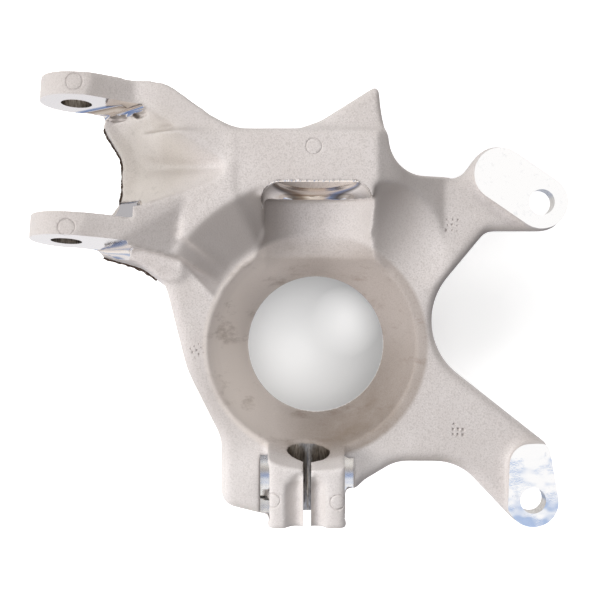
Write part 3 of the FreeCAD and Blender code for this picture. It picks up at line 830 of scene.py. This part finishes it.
def smoother(mesh):
    """Function that averages over the edges of a mesh, for rows of points."""
    n = len(mesh.vertices)
    ends = np.empty(len(mesh.edges) * 2, int)
    mesh.edges.foreach_get("vertices", ends)
    a, b = ends.reshape(-1, 2).T
    degree = (np.bincount(a, minlength=n) + np.bincount(b, minlength=n))[:, None]

    def neighbours_mean(co):
        """Mean of each point's neighbours."""
        total = [np.bincount(a, co[b, k], n) + np.bincount(b, co[a, k], n) for k in range(3)]
        return np.stack(total, 1) / degree

    return neighbours_mean


def relax(obj, rounds):
    """Rounds every edge as the forging die does: each point moves to the mean of its neighbours, then
    part of the way back along the same path, so that the form keeps its volume."""
    points = read_points(obj.data)
    neighbours_mean = smoother(obj.data)
    for _ in range(rounds):
        for share in RELAX_SHARES:
            points = points + share * (neighbours_mean(points) - points)
    write_points(obj.data, points)


def soften(obj, center, inner, outer, rounds):
    """Smooths the skin within one distance of a point in millimetres, and less and less out to another."""
    points = read_points(obj.data)
    neighbours_mean = smoother(obj.data)
    away = np.linalg.norm(points / MM - np.array(center), axis=1)
    share = np.clip((outer - away) / (outer - inner), 0, 1)[:, None] * RELAX_SHARES[0]
    for _ in range(rounds):
        points = points + share * (neighbours_mean(points) - points)
    write_points(obj.data, points)


def press_scoops(obj):
    """Presses two round-topped hollows into the front of the clamp, one on each side of the slit."""
    m = np.array(CLAMP)
    local = (read_points(obj.data) / MM - m[:3, 3]) @ m[:3, :3]
    x, y, z = local.T
    push = np.zeros(len(local))
    for middle, half in SCOOPS:
        across = 1 - ((x - CLAMP_CENTER - middle) / half) ** 2
        top = 1 - np.clip((z - SCOOP_TOP) / SCOOP_CROWN, 0, 1) ** 2
        push = np.maximum(push, SCOOP_DEPTH * np.sqrt(np.clip(across, 0, 1)) * np.sqrt(top))
    skin = (np.clip((CLAMP_FRONT + SCOOP_SKIN - y) / SCOOP_FADE, 0, 1) * (y > CLAMP_FRONT - SCOOP_FADE)
            * (np.abs(x) < SCOOP_REACH) * (z < SCOOP_LID))
    local[:, 1] += push * skin
    write_points(obj.data, placed(local, CLAMP) * MM)


def machine(obj, tools):
    """Takes each tool's form away from the forging and gives the new faces the tool's finish."""
    names = list(FINISHES)
    for tool, finish in tools:
        for mat in FINISHES.values():
            tool.data.materials.append(mat)
        index = np.full(len(tool.data.polygons), names.index(finish))
        tool.data.polygons.foreach_set("material_index", index)
        cut = obj.modifiers.new("cut", "BOOLEAN")
        cut.operation = "DIFFERENCE"
        cut.object = tool
        cut.solver = "MANIFOLD"
        with bpy.context.temp_override(active_object=obj, object=obj):
            bpy.ops.object.modifier_apply(modifier="cut")
        discard(tool)


def surface_of(obj):
    """Search tree over the faces of an object, in metres."""
    bm = bmesh.new()
    bm.from_mesh(obj.data)
    tree = BVHTree.FromBMesh(bm)
    bm.free()
    return tree


def front_at(skin, x, z):
    """Depth y in millimetres of the front skin at (x, z), or None beside the knuckle."""
    hit = skin.ray_cast(Vector((x, SIGHT_START, z)) * MM, Vector((0, 1, 0)))[0]
    return None if hit is None else hit.y / MM


def tube(name, centers, radius, sides=6):
    """Closed ring of tube along a loop of points in millimetres that lies about across the wheel axis."""
    centers = np.asarray(centers)
    outward = centers - centers.mean(0)
    outward[:, 1] = 0
    outward /= np.linalg.norm(outward, axis=1)[:, None]
    t = np.linspace(0, 2 * np.pi, sides, endpoint=False)
    points = (centers[:, None] + radius * (np.cos(t)[None, :, None] * outward[:, None]
                                           + np.sin(t)[None, :, None] * np.array([0.0, 1.0, 0.0])))
    n = len(centers)
    i = np.arange(n)[:, None]
    j = np.arange(sides)
    quads = np.stack([i * sides + j, i * sides + (j + 1) % sides, (i + 1) % n * sides + (j + 1) % sides,
                      (i + 1) % n * sides + j], -1).reshape(-1, 4)
    return mesh_object(name, points.reshape(-1, 3), quads)


def ribbon(name, inner, outer, thickness):
    """Thin closed strip between two rows of points in millimetres, as thick as given along the wheel axis."""
    inner, outer = np.asarray(inner), np.asarray(outer)
    n = len(inner)
    back = np.array([0.0, thickness, 0.0])
    points = np.vstack([inner, outer, outer + back, inner + back])
    faces = []
    for k in range(n - 1):
        for a, b in ((0, 1), (1, 2), (2, 3), (3, 0)):
            faces.append([a * n + k, a * n + k + 1, b * n + k + 1, b * n + k])
    faces.append([0, n, 2 * n, 3 * n])
    faces.append([3 * n + n - 1, 2 * n + n - 1, n + n - 1, n - 1])
    return mesh_object(name, points, faces)


def slab(name, top, back):
    """Closed solid behind a grid of front points in millimetres, back to one depth y or one per point."""
    n, m = top.shape[:2]
    bottom = top.copy()
    bottom[..., 1] = back
    points = np.vstack([top.reshape(-1, 3), bottom.reshape(-1, 3)])
    k = n * m
    faces = []
    for i in range(n - 1):
        for j in range(m - 1):
            a, b, c, d = i * m + j, i * m + j + 1, (i + 1) * m + j + 1, (i + 1) * m + j
            faces += [[a, b, c, d], [d + k, c + k, b + k, a + k]]
    rim = ([i * m for i in range(n)] + [(n - 1) * m + j for j in range(1, m)]
           + [i * m + m - 1 for i in range(n - 2, -1, -1)] + [j for j in range(m - 2, 0, -1)])
    for a, b in zip(rim, rim[1:] + rim[:1]):
        faces.append([a, b, b + k, a + k])
    obj = mesh_object(name, points, faces)
    bm = bmesh.new()
    bm.from_mesh(obj.data)
    bmesh.ops.recalc_face_normals(bm, faces=bm.faces)
    bm.to_mesh(obj.data)
    bm.free()
    return obj


def recess_slope(skin):
    """Metal that turns the recess's steep wall into an even slope from the ligament down to the bowl."""
    rows = []
    for a in np.radians(np.linspace(*SLOPE_SWEEP, SLOPE_ROWS)):
        c, s = math.cos(a), math.sin(a)
        rim = front_at(skin, SLOPE_SEAT * c, SLOPE_SEAT * s)
        floor = front_at(skin, SLOPE_FOOT * c, SLOPE_FOOT * s)
        near = max(SLOPE_FOOT, SLOPE_INNER_X / c) if c < 0 else SLOPE_FOOT
        radii = np.array([near, SLOPE_RIM, SLOPE_SEAT])
        depth = np.interp(radii, [SLOPE_FOOT, SLOPE_RIM], [floor + SLOPE_SINK, min(rim, floor) + SLOPE_LIP])
        rows.append([(r * c, y, r * s) for r, y in zip(radii, depth)])
    return slab("recess_slope", np.array(rows), SLOPE_BACK)


def saddle_flanks(skin):
    """Metal on both sides of the saddle, so that its hollow narrows to a point on the beam. The flanks fall
    evenly from two ridge lines, and fade out towards the torn rim."""
    x, z = np.meshgrid(np.arange(*SADDLE_X), np.arange(*SADDLE_Z), indexing="ij")
    front = np.array([front_at(skin, *at) for at in zip(x.ravel(), z.ravel())]).reshape(x.shape)
    inside = np.minimum(*[(x - px) * nx + (z - pz) * nz for (px, pz), (nx, nz) in SADDLE_RIDGES])
    wanted = SADDLE_RIM + SADDLE_FALL * np.maximum(inside, 0)
    lift = np.clip(front - wanted, 0, None) * np.clip((x - SADDLE_X[0]) / SADDLE_FADE, 0, 1)
    sunk = SADDLE_SINK * np.clip(1 - lift / SADDLE_MELT, 0, 1)
    return slab("saddle_flanks", np.stack([x, front - lift + sunk, z], -1), front + SADDLE_THICKNESS)


def ejector_rings(skin):
    """Ring tools for the faint circles that the ejector pins of the die leave in the skin."""
    tools = []
    for x, z, radius in EJECTOR_MARKS:
        loop = []
        for a in np.linspace(0, 2 * np.pi, EJECTOR_STEPS, endpoint=False):
            px, pz = x + radius * math.cos(a), z + radius * math.sin(a)
            loop.append((px, front_at(skin, px, pz) - EJECTOR_RISE, pz))
        tools.append(tube("ejector_ring", loop, EJECTOR_LINE))
    return tools


def pin_marks(skin):
    """Ball tools for the groups of three by three stamped dots. Each dot sits a little off its place."""
    rng = np.random.default_rng(PIN_SEED)
    tools = []
    profile = [(math.sin(a), -math.cos(a)) for a in np.linspace(PIN_TIP, math.pi - PIN_TIP, PIN_RINGS)]
    for x, z, pitch, turn, size, left_out in PIN_GROUPS:
        c, s = math.cos(math.radians(turn)), math.sin(math.radians(turn))
        for k in range(9):
            if k in left_out:
                continue
            across, up = (k % 3 - 1) * pitch, (k // 3 - 1) * pitch
            px = x + across * c - up * s + rng.normal(0, PIN_SCATTER)
            pz = z + across * s + up * c + rng.normal(0, PIN_SCATTER)
            radius = size * rng.uniform(*PIN_SIZES)
            place = Vector((px, front_at(skin, px, pz) - PIN_RISE * radius, pz))
            tools.append(turned("pin", [(r * radius, h * radius) for r, h in profile],
                                Matrix.Translation(place) @ OUTBOARD, PIN_FACETS))
    return tools


def edge_between(skin, inside, outside):
    """Point where the front skin ends on the way from one (x, z) to another, in millimetres. Its depth is
    that of the skin a little way in, before the rim rounds off."""
    a, b = inside, outside
    inward = (a - b) / np.linalg.norm(a - b)
    for _ in range(HALVINGS):
        middle = (a + b) / 2
        if front_at(skin, *middle) is None:
            b = middle
        else:
            a = middle
    return np.array([a[0], front_at(skin, *(a + RIM_INSET * inward)), a[1]])


def torn_flash(skin):
    """Thin remains of the flash, where the trimming press tore it off the rims of web and skirt, dark with
    painted shade.
    """
    rng = np.random.default_rng(FLASH_SEED)
    rims = []
    for path, direction in TRIM_LINES:
        path = np.array(path, float)
        length = np.r_[0, np.cumsum(np.linalg.norm(np.diff(path, axis=0), axis=1))]
        at = np.arange(0, length[-1], FLASH_STEP)
        x, z = (np.interp(at, length, path[:, k]) for k in (0, 1))
        out = np.array(direction, float)
        step = np.array([out[0], 0.0, out[1]])
        inner, outer = [], []
        draws = rng.uniform(0, 1, len(at) + 2 * FRAY_MARGIN)
        fray = np.convolve(draws, np.ones(FRAY_WINDOW) / FRAY_WINDOW, "same")[FRAY_MARGIN:-FRAY_MARGIN]
        for k in range(len(at)):
            here = np.array([x[k], z[k]])
            rim = edge_between(skin, here - RIM_SEARCH * out, here + RIM_SEARCH * out)
            taper = math.sin(math.pi * (k + 0.5) / len(at)) ** FLASH_TAPER
            width = FLASH_WIDTH * max(0.0, FRAY_GAIN * fray[k] - FRAY_CUT) * taper
            inner.append(rim - FLASH_ROOT * step + (0, FLASH_SINK[0], 0))
            outer.append(rim + (FLASH_EDGE + width) * step + (0, FLASH_SINK[1], 0))
        rims.append(ribbon("torn_flash", inner, outer, FLASH_THICKNESS))
    return rims


def pocket_burr(skin):
    """Bright ragged burr that the pocket's cutter raised along the lower rim of the beam."""
    rng = np.random.default_rng(BURR_SEED)
    foot, crest = [], []
    for x in np.arange(*BURR_SPAN, BURR_STEP):
        high, low = POCKET_CEILING + BURR_SEARCH, POCKET_CEILING - BURR_SEARCH
        y = front_at(skin, x, high)
        for _ in range(HALVINGS):
            middle = (high + low) / 2
            if abs(front_at(skin, x, middle) - y) < BURR_DROP:
                high = middle
            else:
                low = middle
        lift = BURR_HEIGHT * max(0.0, rng.uniform(*BURR_CHANCE)) ** BURR_POWER
        foot.append((x, y - BURR_FOOT[0], high + BURR_FOOT[1]))
        crest.append((x + rng.uniform(-BURR_SWAY, BURR_SWAY), y - BURR_CREST[0] - BURR_LEAN * lift,
                      high + BURR_CREST[1] + lift))
    return ribbon("pocket_burr", foot, crest, BURR_THICKNESS)


def knuckle():
    """The visual knuckle: the solid with its stock on, rounded as forged, then machined, marked and torn."""
    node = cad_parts["knuckle"]
    form = surface_of(node)
    extra = stock() + [recess_slope(form), saddle_flanks(form)]
    body = joined("knuckle_forging", [node] + extra)
    for piece in extra:
        discard(piece)
    remesh(body, VOXEL)
    relax(body, RELAX_ROUNDS)
    press_scoops(body)
    for place in SOFT_PLACES:
        soften(body, *place)
    for mat in FINISHES.values():
        body.data.materials.append(mat)
    machine(body, cutters())
    skin = surface_of(body)
    tools = ejector_rings(skin) + pin_marks(skin)
    marks = joined("marks", tools)
    for tool in tools:
        discard(tool)
    machine(body, [(marks, "forged")])
    for piece, finish in [(p, "torn") for p in torn_flash(skin)] + [(pocket_burr(skin), "milled")]:
        piece.data.materials.append(FINISHES[finish])
        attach(piece, "root")
    body.data.shade_smooth()
    body.data.set_sharp_from_angle(angle=math.radians(SHARP_ANGLE))
    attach(body, "root")
    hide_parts("knuckle")


def camera():
    """Long lens straight along the wheel axis, from the inboard side."""
    data = bpy.data.cameras.new("camera")
    data.sensor_width = SENSOR
    data.lens = SENSOR / PHOTO_PIXELS * FOCAL_PIXELS
    data.clip_start, data.clip_end = 0.01, 20.0
    cam = in_scene("camera", data)
    cam.location = Vector(CAMERA_PLACE) * MM
    cam.rotation_euler = (math.radians(90), 0, 0)
    bpy.context.scene.camera = cam


def area(name, place, target, watts):
    """Square soft light that doesn't show in the milled faces."""
    data = bpy.data.lights.new(name, "AREA")
    data.size = LIGHT_SIZE
    data.energy = watts
    obj = in_scene(name, data)
    obj.location = place
    obj.rotation_euler = (Vector(target) - Vector(place)).to_track_quat("-Z", "Y").to_euler()
    obj.visible_glossy = False


def studio_world():
    """White tent: pure white for the camera, bright with a blue patch low down in reflections, and a dim soft
    light on matte surfaces."""
    world = bpy.data.worlds.new("studio")
    bpy.context.scene.world = world
    world.use_nodes = True
    tree = world.node_tree
    tree.nodes.clear()
    path = add(tree, "ShaderNodeLightPath")
    direction = add(tree, "ShaderNodeTexCoord").outputs["Generated"]
    height = add(tree, "ShaderNodeSeparateXYZ", {}, {"Vector": direction}).outputs["Z"]
    bands = add(tree, "ShaderNodeValToRGB", {}, {"Fac": ramp(tree, height, -1.0, 1.0)})
    colour_stops(bands.color_ramp, REFLECTED_BANDS)
    mirrored = add(tree, "ShaderNodeBackground", {"Strength": REFLECTIONS}, {"Color": bands.outputs["Color"]})
    soft = add(tree, "ShaderNodeBackground", {"Color": linear("#ffffff"), "Strength": AMBIENT})
    white = add(tree, "ShaderNodeBackground", {"Color": linear("#ffffff"), "Strength": 1.0})
    unseen = either(tree, path.outputs["Is Glossy Ray"], soft, mirrored)
    finish_with(tree, either(tree, path.outputs["Is Camera Ray"], unseen, white), "ShaderNodeOutputWorld")


def white_table_top():
    """Smooth white laminate that glows a little for the camera, and is clear from behind. Its colour holds
    painted shadows, seen through the hub and right of the knuckle, and a painted light spot between them."""
    mat, tree, place = material("white_table_top")
    paper = blend(tree, noise(tree, place, 60, 2.0, 0.5), "#f4f4f4", "#f7f7f7")
    # Painted shadow in the view through the hub with a painted light spot, and a painted shadow right of the
    # knuckle.
    ring = region(tree, place, HUB_VIEW)
    glint = region(tree, place, HUB_GLINT)
    dim = all_of(tree, ring, region(tree, place, HUB_SHADE), ramp(tree, glint, 1.9, 0.0))
    paper = blend(tree, dim, blend(tree, ring, paper, "#f3f3f3"), "#aaaaaa")
    paper = blend(tree, all_of(tree, ring, glint, 0.6), paper, "#ffffff")
    paper = blend(tree, times(tree, region(tree, place, SIDE_SHADE), 0.5), paper, "#c6c6c6")
    matte = add(tree, "ShaderNodeBsdfDiffuse", {}, {"Color": paper})
    glow = add(tree, "ShaderNodeEmission", {"Strength": GLOW}, {"Color": paper})
    lit = add(tree, "ShaderNodeAddShader", {}, {0: matte.outputs[0], 1: glow.outputs[0]})
    seen = either(tree, add(tree, "ShaderNodeLightPath").outputs["Is Camera Ray"], matte, lit)
    behind = add(tree, "ShaderNodeNewGeometry").outputs["Backfacing"]
    finish_with(tree, either(tree, behind, seen, add(tree, "ShaderNodeBsdfTransparent")))
    return mat


def table():
    """White table top that the barrel's rim rests on, behind the knuckle. It takes the soft shadows."""
    corners = box_outline(-TABLE_HALF, TABLE_HALF, -TABLE_HALF, TABLE_HALF)
    top = mesh_object("table_top", [(x, BARREL_END + TABLE_GAP, z) for x, z in corners], [(0, 1, 2, 3)])
    top.data.materials.append(white_table_top())
    top.visible_glossy = False


knuckle()
camera()
studio_world()
table()
for light in LIGHTS:
    area(*light)
bpy.context.scene.view_settings.view_transform = "Standard"
